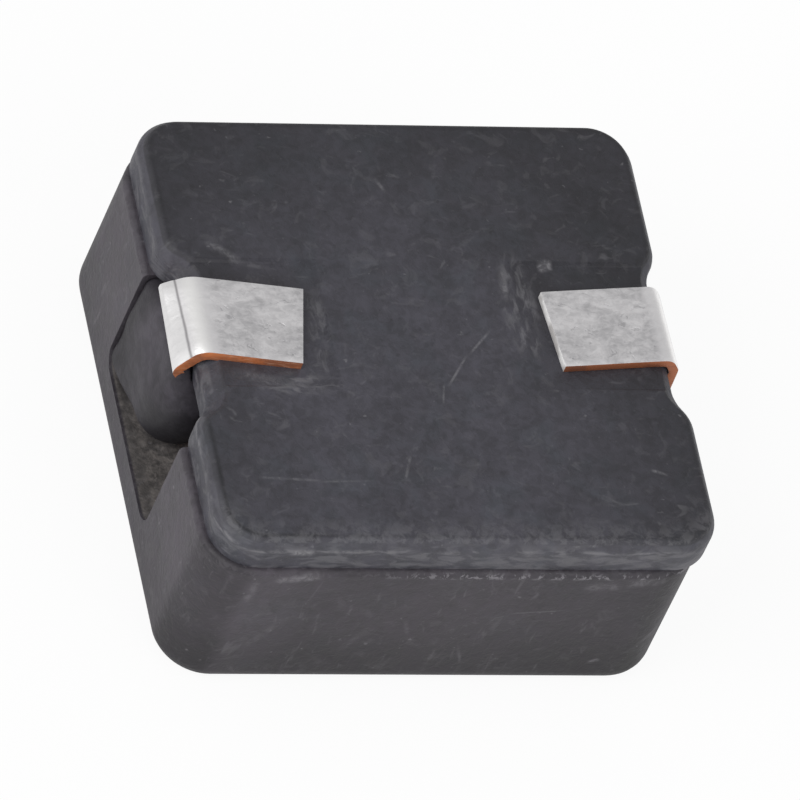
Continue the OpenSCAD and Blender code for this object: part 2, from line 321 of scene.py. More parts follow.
class Shade:
    """A value that changes over a surface. Arithmetic on it adds the Math nodes."""

    def __init__(self, finish, socket):
        self.finish = finish
        self.socket = socket

    def step(self, operation, *values, clamp=False):
        settings = {"operation": operation, "use_clamp": clamp}
        return self.finish.node("ShaderNodeMath", settings, dict(enumerate(values)))

    def __add__(self, other):
        return self.step("ADD", self, other)

    def __radd__(self, other):
        return self.step("ADD", other, self)

    def __sub__(self, other):
        return self.step("SUBTRACT", self, other)

    def __rsub__(self, other):
        return self.step("SUBTRACT", other, self)

    def __mul__(self, other):
        return self.step("MULTIPLY", self, other)

    def __rmul__(self, other):
        return self.step("MULTIPLY", other, self)

    def __truediv__(self, other):
        return self.step("DIVIDE", self, other)

    def __abs__(self):
        return self.step("ABSOLUTE", self)

    def most(self, other):
        return self.step("MAXIMUM", self, other)

    def least(self, other):
        return self.step("MINIMUM", self, other)

    def held(self):
        """The value, kept from 0 to 1."""
        return self.step("ADD", self, 0.0, clamp=True)

    def root(self):
        return self.step("SQRT", self)

    def rise(self, low, high):
        """0 below low, 1 above high, and smooth between them."""
        settings = {"interpolation_type": "SMOOTHSTEP"}
        inputs = {"Value": self, "From Min": low, "From Max": high}
        return self.finish.node("ShaderNodeMapRange", settings, inputs)

    def near(self, level, reach):
        """1 at a level, 0 further than reach from it."""
        return (1.0 - abs(self - level) / reach).rise(0.0, 1.0)


class Finish:
    """One procedural material, or the surroundings, built node by node."""

    def __init__(self, name, kind="materials"):
        self.owner = getattr(bpy.data, kind).new(name)
        self.owner.use_nodes = True
        self.nodes = self.owner.node_tree.nodes
        self.links = self.owner.node_tree.links
        self.nodes.clear()

    def node(self, kind, settings=None, inputs=None, output=0):
        """Adds a node: its settings first, then the values or links of its sockets."""
        made = self.nodes.new(kind)
        for name, value in (settings or {}).items():
            setattr(made, name, value)
        for name, value in (inputs or {}).items():
            if isinstance(value, Shade):
                self.links.new(value.socket, made.inputs[name])
            else:
                made.inputs[name].default_value = value
        return Shade(self, made.outputs[output]) if made.outputs else made

    def place(self):
        """The point on the part, in millimetres."""
        point = self.node("ShaderNodeTexCoord", output="Object")
        return self.node("ShaderNodeVectorMath", {"operation": "SCALE"},
                         {0: point, "Scale": 1.0 / MM})

    def painted(self, layer):
        """A value stored on the points of the mesh."""
        return self.node("ShaderNodeAttribute", {"attribute_name": layer}, output="Fac")

    def moved(self, point, location=(0, 0, 0), turn=(0, 0, 0), scale=(1, 1, 1)):
        """Points of a pattern that is turned about its own middle, then stretched."""
        away = self.node("ShaderNodeVectorMath", {"operation": "SUBTRACT"},
                         {0: point, 1: location})
        turned = tuple(math.radians(angle) for angle in turn)
        turned = self.node("ShaderNodeMapping", {"vector_type": "POINT"},
                           {"Vector": away, "Rotation": turned})
        return self.node("ShaderNodeVectorMath", {"operation": "MULTIPLY"}, {0: turned, 1: scale})

    def parts(self, point):
        """The three coordinates of a point."""
        first = self.node("ShaderNodeSeparateXYZ", None, {0: point})
        return [Shade(self, socket) for socket in first.socket.node.outputs]

    def noise(self, point, scale, detail=3.0, rough=0.55, warp=0.0):
        """Soft random variation from 0 to 1, with scale waves to a millimetre."""
        return self.node("ShaderNodeTexNoise", {"noise_dimensions": "3D"},
                         {"Vector": point, "Scale": scale, "Detail": detail,
                          "Roughness": rough, "Distortion": warp})

    def blend(self, first, second, amount):
        """From the first colour to the second by amount."""
        settings = {"data_type": "RGBA", "blend_type": "MIX"}
        first = first if isinstance(first, Shade) else (*first, 1.0)
        second = second if isinstance(second, Shade) else (*second, 1.0)
        return self.node("ShaderNodeMix", settings, {0: amount, 6: first, 7: second}, output=2)

    def dimmed(self, colour, amount):
        """A colour times an amount."""
        return self.node("ShaderNodeVectorMath", {"operation": "SCALE"},
                         {0: colour, "Scale": amount})

    def bump(self, height, distance_mm, strength):
        """A surface normal from a height."""
        return self.node("ShaderNodeBump", None,
                         {"Height": height, "Distance": distance_mm * MM, "Strength": strength})

    def surface(self, colour, roughness, normal=None, **fixed):
        """The shader and the output."""
        inputs = {"Base Color": colour, "Roughness": roughness}
        if normal is not None:
            inputs["Normal"] = normal
        for name, value in fixed.items():
            inputs[name.replace("_", " ").title().replace("Ior", "IOR")] = value
        shader = self.node("ShaderNodeBsdfPrincipled", None, inputs)
        self.node("ShaderNodeOutputMaterial", None, {"Surface": shader})
        return self.owner


class PressedPowder(Finish):
    """Pressed iron powder under a thin grey coat: clouded, mottled, rubbed pale in places."""

    def __init__(self, name):
        super().__init__(name)
        self.point = self.place()
        self.x, self.y, self.z = self.parts(self.point)
        grain = self.noise(self.point, 16.0, 2.0, 0.6)
        clouds = self.noise(self.point, 0.5, 3.0, 0.5).rise(0.35, 0.65)
        mottle = self.noise(self.point, 1.6, 4.0, 0.6, 0.5).rise(0.38, 0.62)
        flecks = self.noise(self.point, 4.2, 3.0, 0.6, 0.6).rise(0.40, 0.60)
        self.tone = 0.66 + 0.18 * clouds + 0.24 * mottle + 0.22 * flecks + 0.16 * grain
        self.tone = self.tone * (1.0 - 0.18 * self.noise(self.point, 3.0, 2.0).rise(0.64, 0.70))
        self.cool = self.noise(self.point, 0.8, 3.0, 0.6, 0.5).rise(0.45, 0.72)
        self.relief = 0.4 * grain + 0.4 * mottle + 0.35 * flecks
        self.broken = self.noise(self.point, 3.4, 4.0, 0.7, 0.5).rise(0.40, 0.62)
        handled = self.noise(self.point, 0.7, 2.0, 0.5).rise(0.38, 0.68)
        specks = self.noise(self.point, 4.4, 2.0, 0.6).rise(0.69, 0.80)
        smudges = self.noise(self.point, 1.9, 3.0, 0.6, 0.8).rise(0.57, 0.68)
        self.wear_and_highlight = (0.40 * specks).most(0.085 * smudges)
        for turn in ((10, 15, 12), (-40, 20, -42), (80, -20, 78)):
            drawn = self.moved(self.point, turn=turn, scale=(0.40, 1.8, 1.8))
            stroke = self.noise(drawn, 1.5, 3.0, 0.5, 1.0).rise(0.62, 0.76)
            self.add_wear_and_highlight(0.22 * stroke * handled)

    def inside(self, low, high, corner):
        """How far a point lies inside the upright faces of a rounded block."""
        middle, half = (low + high) / 2, (high - low) / 2
        across = abs(self.x - middle.x) - (half.x - corner)
        deep = abs(self.y - middle.y) - (half.y - corner)
        over_x, over_y = across.most(0.0), deep.most(0.0)
        outside = (over_x * over_x + over_y * over_y).root()
        return corner - outside - across.most(deep).least(0.0)

    def shade(self, factor):
        """Makes the coat lighter or darker by a factor."""
        self.tone = self.tone * factor

    def add_wear_and_highlight(self, amount):
        """Makes the coat paler, towards the bare powder, by an amount, where it isn't already paler:
        for rubbing, and on the plate's rim also for a painted highlight.
        """
        self.wear_and_highlight = self.wear_and_highlight.most(amount)

    def rub(self, length, width, strength, along, beside, off):
        """One soft mark, from how far a point lies along it, beside it and off its face."""
        body = (1.0 - abs(along) / (length / 2)).rise(0.0, 0.6)
        body = body * (1.0 - abs(beside) / (width / 2)).rise(0.0, 0.9)
        body = body * (1.0 - abs(off) / 0.3).rise(0.0, 0.3)
        self.add_wear_and_highlight(strength * body * (0.25 + 0.75 * self.broken))

    def rub_top(self, level, marks):
        """Marks on a face at a height: X, Y, length, width, turn and strength of each."""
        for x, y, length, width, turn, strength in marks:
            along, beside, off = self.parts(self.moved(self.point, (x, y, level), (0, 0, -turn)))
            self.rub(length, width, strength, along, beside, off)

    def rub_front(self, level, marks):
        """Marks on a front wall at a Y: X, height, length, width, turn and strength of each."""
        for x, z, length, width, turn, strength in marks:
            along, off, beside = self.parts(self.moved(self.point, (x, level, z), (0, turn, 0)))
            self.rub(length, width, strength, along, beside, off)

    def done(self, coat, bare):
        """The material: the coat's colour, and the bare powder's where it is rubbed or where a
        highlight is painted.
        """
        colour = self.blend(self.dimmed(coat, self.tone), bare, self.wear_and_highlight.held())
        rough = 0.52 + 0.14 * self.relief + 0.08 * self.wear_and_highlight
        return self.surface(colour, rough, self.bump(self.relief, 0.03, 0.5),
                            specular_ior_level=0.45)


def shade_plate_face(finish, inside, on_face):
    """Painted light and shade: palest at the front middle and darker towards the back corners, with
    painted shade along the chamfer's inner edge and in the pockets.
    """
    x, y = finish.x, finish.y
    # Painted light falloff: the face paler at its front middle, darker towards the back corners
    away_x, away_y = (x + 0.7) / 6.5, (y + 3.4) / 10.0
    away = (away_x * away_x + away_y * away_y).root().rise(0.40, 1.25)
    finish.shade(1.06 - 0.56 * away * on_face)
    # Painted shade along the chamfer's inner edge, strongest towards the front left corner
    painted_rim_shade = on_face * inside.near(RIM_WIDTH + 0.07, 0.10)
    corner = (-1.0 * x).rise(3.0, 5.0) * (-1.0 * y).rise(2.0, 4.0)
    finish.shade(1.0 - painted_rim_shade * (0.20 + 0.30 * corner))
    # Painted shade in the pockets under the pads, deeper towards the back
    for side, end in POCKET_ENDS.items():
        across = POCKET_WIDTH / 2 - abs(y - POCKET_Y)
        painted_pocket_shade = across.rise(-0.1, 0.45) * (side * (x - end)).rise(-0.1, 0.3)
        finish.shade(1.0 - (0.10 + 0.10 * y.rise(0.0, 1.5)) * painted_pocket_shade * on_face)


def wear_and_highlight_on_plate_rim(finish, inside, on_face, ridge):
    """Rubbed streaks on the chamfer, along the ridge below it and on the plate's wall; along the
    ridge and up the chamfer they are also a painted highlight of the rounded edge.
    """
    x, y, z = finish.x, finish.y, finish.z
    drawn = finish.moved(finish.point, scale=(0.60, 0.60, 1.8))
    streaks = finish.noise(drawn, 2.3, 3.0, 0.6, 0.6).rise(0.42, 0.64)
    outer = 1.0 - inside.rise(RIM_WIDTH + 0.02, RIM_WIDTH + 0.12)
    outer = outer * (1.0 - 0.6 * (-1.0 * x).rise(5.4, 6.0) * y.rise(1.0, 2.5))
    slope = (1.0 - (z - ridge) / RIM_HEIGHT).held() * z.rise(ridge - 0.05, ridge + 0.02)
    wall = 1.0 - z.rise(ridge - 0.03, ridge + 0.03)
    # Paler along the ridge and up the chamfer towards it: partly rubbing, partly a painted highlight
    # of the rounded edge
    finish.add_wear_and_highlight(outer * z.near(ridge - 0.02, 0.14) * (0.10 + 0.58 * streaks))
    finish.add_wear_and_highlight(outer * slope * (0.06 + 0.30 * streaks))
    finish.add_wear_and_highlight(wall * (0.06 + 0.014 * x + 0.34 * streaks))
    front_edge = (1.0 - inside / 0.9).held() * (-1.0 * y).rise(4.5, 5.5) * on_face
    finish.add_wear_and_highlight(0.36 * front_edge * finish.broken)


def leave_residue(finish, on_face, patches):
    """Pale smears that soldering left: X, Y, half length along X and Y, and strength of each."""
    for middle_x, middle_y, half_x, half_y, strength in patches:
        reach_x, reach_y = (finish.x - middle_x) / half_x, (finish.y - middle_y) / half_y
        patch = 1.0 - (reach_x * reach_x + reach_y * reach_y).rise(0.2, 1.0)
        drawn = (2.2, 0.8, 1.0) if half_y > half_x else (0.8, 2.2, 1.0)
        residue = finish.noise(finish.moved(finish.point, scale=drawn), 2.1, 4.0, 0.6, 0.7)
        finish.add_wear_and_highlight(strength * patch * residue.rise(0.42, 0.68) * on_face)


def plate_powder():
    """The cover plate's surface: scuffed on its face, with painted light and shade there, rubbed and
    painted bright round its rim.
    """
    low, high = box_mm("core_plate")
    finish = PressedPowder("pressed_powder_plate")
    inside = finish.inside(low, high, PLATE_CORNER)
    pocket_floor = high.z - POCKET_DEPTH
    on_face = finish.z.rise(pocket_floor - 0.06, pocket_floor - 0.01)
    shade_plate_face(finish, inside, on_face)
    wear_and_highlight_on_plate_rim(finish, inside, on_face, high.z - RIM_HEIGHT)
    leave_residue(finish, on_face, [
        (2.75, 0.9, 0.60, 1.9, 0.42),
        (-2.62, 0.1, 0.34, 1.6, 0.34),
        (-3.5, -1.45, 1.4, 0.44, 0.42),
    ])
    finish.rub_top(high.z, [
        (-4.72, 2.50, 1.2, 0.34, -38, 0.42),
        (-4.10, 2.15, 1.3, 0.22, -12, 0.22),
        (-3.96, -1.38, 2.9, 0.46, -13, 0.36),
        (3.65, 2.19, 0.48, 0.40, 10, 0.95),
        (2.46, 1.60, 1.3, 0.24, 86, 0.55),
        (1.45, -0.20, 1.3, 0.10, 47, 0.55),
        (0.72, -1.05, 1.3, 0.10, 55, 0.50),
        (0.22, -1.75, 0.7, 0.09, 78, 0.45),
        (-4.25, -4.33, 1.9, 0.12, -3, 0.38),
        (-2.85, -4.39, 1.6, 0.10, 2, 0.30),
        (-0.22, 4.55, 0.6, 0.16, -65, 0.40),
        (-1.15, -4.0, 1.1, 0.12, 70, 0.34),
        (5.40, -4.05, 0.5, 0.14, -20, 0.50),
    ])
    finish.rub_front(low.y, [
        (-4.25, 5.34, 0.95, 0.34, 0, 0.95),
        (-3.0, 5.38, 1.7, 0.20, 0, 0.60),
        (3.1, 5.55, 1.0, 0.12, 2, 0.50),
    ])
    round_the_corner = low.y + 0.18
    finish.rub_front(round_the_corner, [(-5.0, 5.36, 1.2, 0.20, 0, 0.45)])
    coat = finish.blend(PLATE_COAT, PLATE_COAT_COOL, 0.6 * finish.cool)
    return finish.done(coat, PLATE_BARE)


def shade_pot_walls(finish, low, high):
    """Darker towards the bottom, with painted shade: the front wall darker than the sides, most at
    its right and low down, and a band down each upright corner.
    """
    x, y, z = finish.x, finish.y, finish.z
    finish.shade(0.76 + 0.26 * z.rise(0.5, 2.9))
    # Painted shade: the front wall darker than the side walls, lighter towards its left, darker
    # towards its right and low down
    front = (-1.0 * y).rise(-low.y - 0.35, -low.y - 0.05)
    sides = 0.20 * (-1.0 * x).rise(3.2, 5.0) - 0.16 * x.rise(2.0, 5.2)
    low_down = 1.0 - z.rise(0.5, 2.8)
    finish.shade(1.0 + front * (sides - 0.20 - 0.26 * low_down))
    # Painted shade in a band down each upright corner, between the light on the left wall and on the
    # front wall
    over_x = (abs(x) - (high.x - POT_CORNER)).most(0.0)
    over_y = (abs(y) - (high.y - POT_CORNER)).most(0.0)
    turned = (over_x * over_y).rise(0.02, 0.55)
    finish.shade(1.0 - turned * (0.34 + 0.12 * low_down))


def wear_pot_walls(finish, inside, high):
    """Upright streaks, and chips along the edge at the joint."""
    drawn = finish.moved(finish.point, scale=(2.2, 2.2, 0.6))
    upright = finish.noise(drawn, 1.3, 3.0, 0.6, 0.6).rise(0.60, 0.74)
    finish.add_wear_and_highlight(0.22 * upright)
    chips = finish.noise(finish.point, 5.0, 4.0, 0.7, 0.6).rise(0.51, 0.58)
    edge = finish.z.near(high.z - 0.12, 0.14) * (1.0 - inside.rise(0.06, 0.2))
    finish.add_wear_and_highlight(edge * chips * (0.15 + 0.70 * finish.x.rise(-2.6, 0.0)))


def sandy_sills(finish, inside, coat):
    """The coat, with bare sandy powder on the windows' sills, and a painted shade of a crack along
    their outer edges.
    """
    y, z = finish.y, finish.z
    sill = 1.0 - (z - POT_FLOOR).rise(0.02, 0.20)
    between = 1.0 - (abs(y - WINDOW_Y) / (WINDOW_WIDTH / 2)).rise(0.98, 1.0)
    sandy = sill * between * z.rise(POT_FLOOR - 0.10, POT_FLOOR - 0.04) * inside.rise(0.05, 0.12)
    rubble = finish.noise(finish.point, 5.5, 4.0, 0.7).rise(0.35, 0.65)
    # Painted shade of a crack along each sill's outer edge: darker, with darker sand
    darkening = inside.near(0.26, 0.24) * (0.6 + 0.4 * finish.broken)
    finish.shade(1.0 - 0.15 * sandy * darkening)
    return finish.blend(coat, finish.blend(SILL_DARK, SILL_SAND, rubble * (1.0 - 0.85 * darkening)), sandy)


def pot_powder():
    """The pot core's surface: painted shade on its front wall and corners, darker low down, sandy on
    the windows' sills.
    """
    low, high = box_mm("core_pot")
    finish = PressedPowder("pressed_powder_pot")
    inside = finish.inside(low, high, POT_CORNER)
    shade_pot_walls(finish, low, high)
    wear_pot_walls(finish, inside, high)
    finish.rub_front(low.y, [
        (-4.07, 4.48, 1.4, 0.40, 9, 0.95),
        (-5.15, 3.90, 1.1, 0.34, 86, 0.34),
        (-4.3, 2.15, 1.9, 0.36, 58, 0.16),
        (-1.9, 1.9, 1.5, 0.30, 62, 0.16),
        (-0.7, 2.4, 0.8, 0.20, -70, 0.20),
        (3.9, 4.2, 1.2, 0.5, 4, 0.34),
        (5.0, 4.4, 1.3, 0.5, 10, 0.38),
        (2.5, 3.1, 1.7, 0.10, 6, 0.34),
        (4.6, 1.0, 0.4, 0.2, 30, 0.50),
    ])
    coat = finish.blend(POT_COAT, POT_COAT_COOL, 0.6 * finish.cool)
    return finish.done(sandy_sills(finish, inside, coat), POT_BARE)


def tinned(name):
    """Hot-dipped tin on a copper strip: smeared and a little wavy, with a painted dark reflection
    along its fold and a painted highlight stripe beside it.
    """
    finish = Finish(name)
    along, beside, fold = [finish.painted(layer) for layer in ("along", "beside", "fold")]
    flat = finish.node("ShaderNodeCombineXYZ", None, {0: along, 1: beside})
    smear = finish.noise(finish.moved(flat, scale=(0.8, 1.0, 1.0)), 1.3, 4.0, 0.6, 0.5)
    streak = finish.noise(finish.moved(flat, turn=(0, 0, 3), scale=(0.6, 2.2, 1.0)), 2.2, 4.0, 0.6)
    fine = finish.noise(finish.moved(flat, scale=(1.0, 1.3, 1.0)), 4.5, 4.0, 0.65, 0.6)
    nicks = finish.noise(finish.moved(flat, scale=(1.0, 1.6, 1.0)), 2.9, 3.0, 0.6, 0.8)
    dents = nicks.rise(0.61, 0.70)
    pad = 1.0 - fold.rise(-0.85, -0.55)
    darkening = 0.34 * smear.rise(0.40, 0.60) + 0.14 * streak.rise(0.44, 0.62)
    darkening = darkening + 0.30 * fine.rise(0.36, 0.62) + 0.34 * dents
    darkening = (darkening * (0.30 + 0.70 * pad)).held()
    clean = finish.blend(TIN_ON_PAD, TIN_ON_LEG, fold.rise(-0.1, 0.1))
    colour = finish.blend(clean, TIN_SOILED, darkening)
    # Painted highlight stripe just inside the fold
    painted_highlight_stripe = fold.near(-0.30, 0.30)
    colour = finish.blend(colour, TIN_PAINTED_HIGHLIGHT, painted_highlight_stripe * (1.0 - 0.5 * darkening))
    # Painted dark reflection along the fold's line
    wander = 0.05 * finish.noise(flat, 1.2, 2.0)
    painted_dark_reflection = (fold + wander).near(0.02, 0.06)
    colour = finish.blend(colour, TIN_PAINTED_DARK_REFLECTION, 0.75 * painted_dark_reflection)
    rough = 0.36 + 0.22 * darkening + 0.12 * fine - 0.08 * painted_highlight_stripe
    height = 0.4 * smear + 0.3 * streak + 0.3 * fine - 0.5 * dents * pad
    return finish.surface(colour, rough, finish.bump(height, 0.03, 0.6), metallic=0.9)


def cut_end_painted_highlight(name):
    """The cut end of a strip, with a painted highlight: near-white in patches, and rough."""
    finish = Finish(name)
    patchy = finish.noise(finish.place(), 1.1, 3.0, 0.6).rise(0.40, 0.55)
    colour = finish.blend(CUT_END_HIGHLIGHT_DULL, CUT_END_HIGHLIGHT_BRIGHT, patchy)
    return finish.surface(colour, 0.5 - 0.15 * patchy, None, metallic=0.15)


def bare_copper(name):
    """Copper where the strip was sheared: bright in places, with painted shade that darkens and
    browns it towards the right, and browner low on the edge.
    """
    finish = Finish(name)
    point = finish.place()
    brown = finish.noise(point, 1.3, 3.0).rise(0.35, 0.7)
    drag = finish.noise(finish.moved(point, scale=(1.0, 1.0, 9.0)), 3.0, 3.0)
    x, _, z = finish.parts(point)
    # Painted shade: the copper edges darker and browner towards the right
    painted_shade_right = x.rise(-1.0, 2.0)
    underside = z.near(PAD_MIDDLE - STRIP_THICK / 2, 0.14)
    brown = (brown + 0.12).most(0.65 * painted_shade_right).most(0.8 * underside)
    colour = finish.blend(COPPER_BRIGHT, COPPER_BROWN, brown)
    colour = finish.blend(colour, COPPER_TINNED, 0.4 * drag.rise(0.52, 0.72) * (1.0 - painted_shade_right))
    colour = finish.blend(colour, COPPER_PAINTED_SHADE, 0.42 * painted_shade_right)
    return finish.surface(colour, 0.42 + 0.2 * brown, finish.bump(drag, 0.015, 0.5), metallic=0.55)


def cast_resin(name):
    """Dull dark resin, smooth where it flowed and dusty in random patches, with painted shade in the
    hollow at its front, towards the back and low down, painted light beside the leg and a painted
    highlight low down.
    """
    finish = Finish(name)
    point = finish.place()
    clouds = finish.noise(point, 0.9, 3.0)
    mottle = finish.noise(point, 2.4, 4.0, 0.6, 0.4).rise(0.35, 0.65)
    grain = finish.noise(point, 9.0, 3.0, 0.6)
    _, y, z = finish.parts(point)
    # Painted shade: darker in the hollow at the front, towards the back and low down
    hollow = (-1.0 * y).rise(-0.5, 0.5) * (1.0 - z.rise(2.8, 4.2))
    at_back, raised = y.rise(1.2, 2.2), z.rise(1.6, 4.2)
    lit = (1.0 - 0.8 * hollow) * (1.0 - 0.55 * at_back) * (0.62 + 0.38 * raised)
    # Painted highlight in patches low on the bead
    pale = finish.noise(point, 1.5, 3.0, 0.6, 0.6).rise(0.55, 0.72) * (1.0 - z.rise(2.2, 3.2))
    dust_and_painted_light = (0.5 * clouds + 0.35 * mottle + 0.25 * grain).held() * lit
    # Painted light on the bead beside the leg
    painted_light_beside_leg = y.rise(-0.4, 0.6) * (1.0 - y.rise(1.1, 1.9)) * z.rise(2.8, 4.0)
    dust_and_painted_light = (dust_and_painted_light + 0.22 * pale * (1.0 - hollow) + 0.26 * painted_light_beside_leg).held()
    colour = finish.blend(RESIN_DARK, RESIN_DUST_AND_LIGHT, dust_and_painted_light)
    rough = 0.50 + 0.18 * grain
    height = 0.6 * clouds + 0.25 * mottle + 0.25 * grain
    return finish.surface(colour, rough, finish.bump(height, 0.04, 0.6), specular_ior_level=0.22)


def enamelled_copper(name):
    """Copper wire under a dark brown enamel."""
    finish = Finish(name)
    point = finish.place()
    tone = finish.noise(point, 1.2, 3.0)
    colour = finish.blend(ENAMEL_DARK, ENAMEL_PALE, tone)
    rough = 0.28 + 0.12 * finish.noise(point, 6.0, 2.0)
    return finish.surface(colour, rough, None, metallic=0.3, coat_weight=0.4)


# --- Pieces ---------------------------------------------------------------------------------

def pocket_block(side, top):
    """The closed shape that sinks the pocket under one pad, with a slope round it."""
    near, far = POCKET_Y - POCKET_WIDTH / 2, POCKET_Y + POCKET_WIDTH / 2
    end, above = POCKET_ENDS[side], 0.1
    bm = bmesh.new()
    for height, spread in ((-POCKET_DEPTH, 0.0), (above, POCKET_RAMP * (1 + above / POCKET_DEPTH))):
        for x in (end + side * (POCKET_RAMP - spread), side * PAST_WALL):
            for y in (near + POCKET_RAMP - spread, far - POCKET_RAMP + spread):
                bm.verts.new((x, y, top + height))
    return hull_of(bm)


def notch_corners(side, end, middle_y):
    """The four corners of the notch in one end, from front to back."""
    floor = end - side * NOTCH_DEPTH[side]
    front, back = middle_y - NOTCH_FRONT[side], middle_y + NOTCH_BACK
    return [(end, front - NOTCH_FLARE), (floor, front), (floor, back), (end, back + NOTCH_FLARE)]


def ease_notch_floors(slopes, low, high, middle_y):
    """Widens the face's chamfer where it crosses a notch, given the chamfer's sloping edges."""
    reach = NOTCH_BACK + NOTCH_FLARE + 0.2
    for edge in slopes:
        under, over = sorted(edge.verts, key=lambda point: point.co.z)
        if abs(under.co.y - middle_y) >= reach:
            continue
        side = RIGHT if under.co.x > 0 else LEFT
        mouth = high.x if side == RIGHT else -low.x
        share = ramp(mouth - side * under.co.x, 0.0, NOTCH_DEPTH[side])
        under.co.z -= (NOTCH_EASE[side] - RIM_HEIGHT) * share
        over.co.x -= side * (NOTCH_EASE[side] - RIM_WIDTH) * share


def cover_plate(material):
    """The cover plate: chamfered face, a notch in each end for the leads, shallow pockets."""
    low, high = box_mm("core_plate")
    middle_y = (low.y + high.y) / 2 + NOTCH_SHIFT
    bm = flat_shape([
        (low.x, low.y), (high.x, low.y), *notch_corners(RIGHT, high.x, middle_y),
        (high.x, high.y), (low.x, high.y), *reversed(notch_corners(LEFT, low.x, middle_y)),
    ], low.z)
    widest = NOTCH_BACK + NOTCH_FLARE
    outer = [point for point in bm.verts if abs(point.co.y - middle_y) > widest + 1]
    round_corner(bm, outer, PLATE_CORNER, 14)
    notches = [point for point in bm.verts if abs(point.co.y - middle_y) < widest + 0.01]
    round_corner(bm, notches, NOTCH_ROUND, 4)
    ridge = high.z - RIM_HEIGHT
    top = drawn_up(bm, ridge - low.z)
    bmesh.ops.inset_region(bm, faces=[top], thickness=RIM_WIDTH, depth=RIM_HEIGHT,
                           use_even_offset=True)
    slopes = [edge for edge in bm.edges
              if fall(edge) > 0.1 and min(point.co.z for point in edge.verts) > ridge - 0.01]
    ease_notch_floors(slopes, low, high, middle_y)
    joined = {edge for slope in slopes for point in slope.verts for edge in point.link_edges}
    # Round the chamfer's two level lines, and leave the plate's upright edges under them
    rim = [edge for edge in joined.difference(slopes) if fall(edge) < 0.21]
    eased(bm, rim, RIM_ROUND, 3)
    bm = cut(bm, [pocket_block(side, high.z) for side in (LEFT, RIGHT)])
    return finished("cover_plate", bm, [material], "core_plate", 40)


def window_block(side, top):
    """The closed shape that cuts one lead window."""
    bm = bmesh.new()
    near, far = WINDOW_Y - WINDOW_WIDTH / 2, WINDOW_Y + WINDOW_WIDTH / 2
    corners = [(near, POT_FLOOR), (far, POT_FLOOR), (far, top), (near, top)]
    points = [bm.verts.new((side * WINDOW_FROM, y, z)) for y, z in corners]
    bm.faces.new(points)
    sill = [point for point in bm.verts if point.co.z < POT_FLOOR + 0.01]
    round_corner(bm, sill, WINDOW_ROUND, 8)
    made = bmesh.ops.extrude_face_region(bm, geom=bm.faces[:], use_keep_orig=True)["geom"]
    shift = (side * (PAST_WALL - WINDOW_FROM), 0, 0)
    bmesh.ops.translate(bm, vec=shift, verts=made_points(made))
    bmesh.ops.recalc_face_normals(bm, faces=bm.faces)
    return bm


def pot_core(material):
    """The pot: rounded block with a chamber, a post and a window in each end wall."""
    low, high = box_mm("core_pot")
    bm = flat_shape([(low.x, low.y), (high.x, low.y), (high.x, high.y), (low.x, high.y)], low.z)
    round_corner(bm, bm.verts[:], POT_CORNER, 16)
    drawn_up(bm, high.z - low.z)
    eased(bm, level_edges(bm, low.z), POT_EDGE, 7)
    eased(bm, level_edges(bm, high.z), JOINT_EDGE, 4)
    bm = cut(bm, [
        column(CHAMBER_RADIUS, POT_FLOOR, high.z + OVERSHOOT),
        window_block(LEFT, high.z + OVERSHOOT),
        window_block(RIGHT, high.z + OVERSHOOT),
    ])
    eased(bm, sharp_edges(bm, 55), WORN_EDGE, 3)
    return finished("pot_core", bm, [material], "core_pot", 40)


def core_post(material):
    """The post in the middle of the pot, pressed in one with it, just short of the joint."""
    joint = box_mm("core_pot")[1].z
    bm = column(POST_RADIUS, POT_FLOOR, joint - 0.01, 64)
    return finished("core_post", bm, [material])


def led_along(line, radii, width, steps=8):
    """A ribbon across Y along (distance out, height) corners, whose points know how far they lie."""
    bm = bmesh.new()
    run = bm.verts.layers.float.new("along")
    ends = [bm.verts.new((line[0].x, y, line[0].y)) for y in (-width / 2, width / 2)]
    edge = bm.edges.new(ends)
    gone = 0.0

    def stamp(edge, gone):
        """Stores how far along the ribbon an edge lies."""
        for point in edge.verts:
            point[run] = gone

    def drawn_to(edge, goal):
        """Draws the ribbon on to a goal, and returns its new end and how far that was."""
        made = bmesh.ops.extrude_edge_only(bm, edges=[edge])["geom"]
        points = made_points(made)
        shift = Vector((goal.x - points[0].co.x, 0, goal.y - points[0].co.z))
        bmesh.ops.translate(bm, vec=shift, verts=points)
        front = [item for item in made_edges(made) if all(end in points for end in item.verts)]
        return front[0], shift.length

    for before, corner, after, radius in zip(line, line[1:], line[2:], radii):
        inward, onward = (corner - before).normalized(), (after - corner).normalized()
        turn = math.atan2(inward.x * onward.y - inward.y * onward.x, inward.dot(onward))
        reach = radius * math.tan(abs(turn) / 2)
        cuts = max(1, round((corner - before).length / 0.35))
        start = Vector((edge.verts[0].co.x, edge.verts[0].co.z))
        goal = corner - inward * reach
        for k in range(1, cuts + 1):
            edge, length = drawn_to(edge, start.lerp(goal, k / cuts))
            gone += length
            stamp(edge, gone)
        square = Vector((-inward.y, inward.x)) * (1 if turn > 0 else -1)
        centre = goal + square * radius
        for _ in range(steps):
            made = bmesh.ops.spin(bm, geom=[edge], cent=(centre.x, 0, centre.y), axis=(0, 1, 0),
                                  angle=-turn / steps, steps=1, use_duplicate=False)
            edge = made_edges(made["geom_last"])[0]
            gone += abs(turn) * radius / steps
            stamp(edge, gone)
    edge, length = drawn_to(edge, line[-1])
    stamp(edge, gone + length)
    return bm


